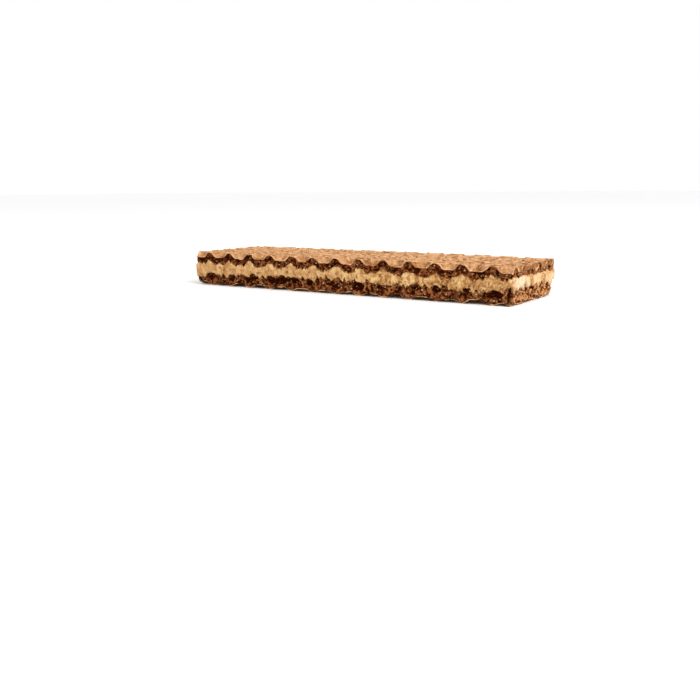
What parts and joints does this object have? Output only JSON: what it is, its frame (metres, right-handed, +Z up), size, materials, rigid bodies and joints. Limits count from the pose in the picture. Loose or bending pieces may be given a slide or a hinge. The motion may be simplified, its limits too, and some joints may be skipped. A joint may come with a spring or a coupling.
{
  "type": "wafer",
  "caption": "Cocoa wafer bar: baked wafer sheets with a diamond lattice relief, joined by a layer of pale cream, with rough cut sides",
  "frame": {"origin": "middle of the bar's underside, on the surface it lies on", "axes": "+X along the bar, +Y across it away from the front cut side, +Z up through the layers"},
  "size_m": [0.0758, 0.022, 0.0073],
  "materials": {
    "cocoa_wafer": "dry baked cocoa wafer, matt skin over a dark porous crumb",
    "pale_cream": "grainy pale cream, matt"
  },
  "bodies": {
    "root": {"upper_wafer": "cocoa_wafer", "cream_filling": "pale_cream", "lower_wafer": "cocoa_wafer"}
  },
  "joints": []
}
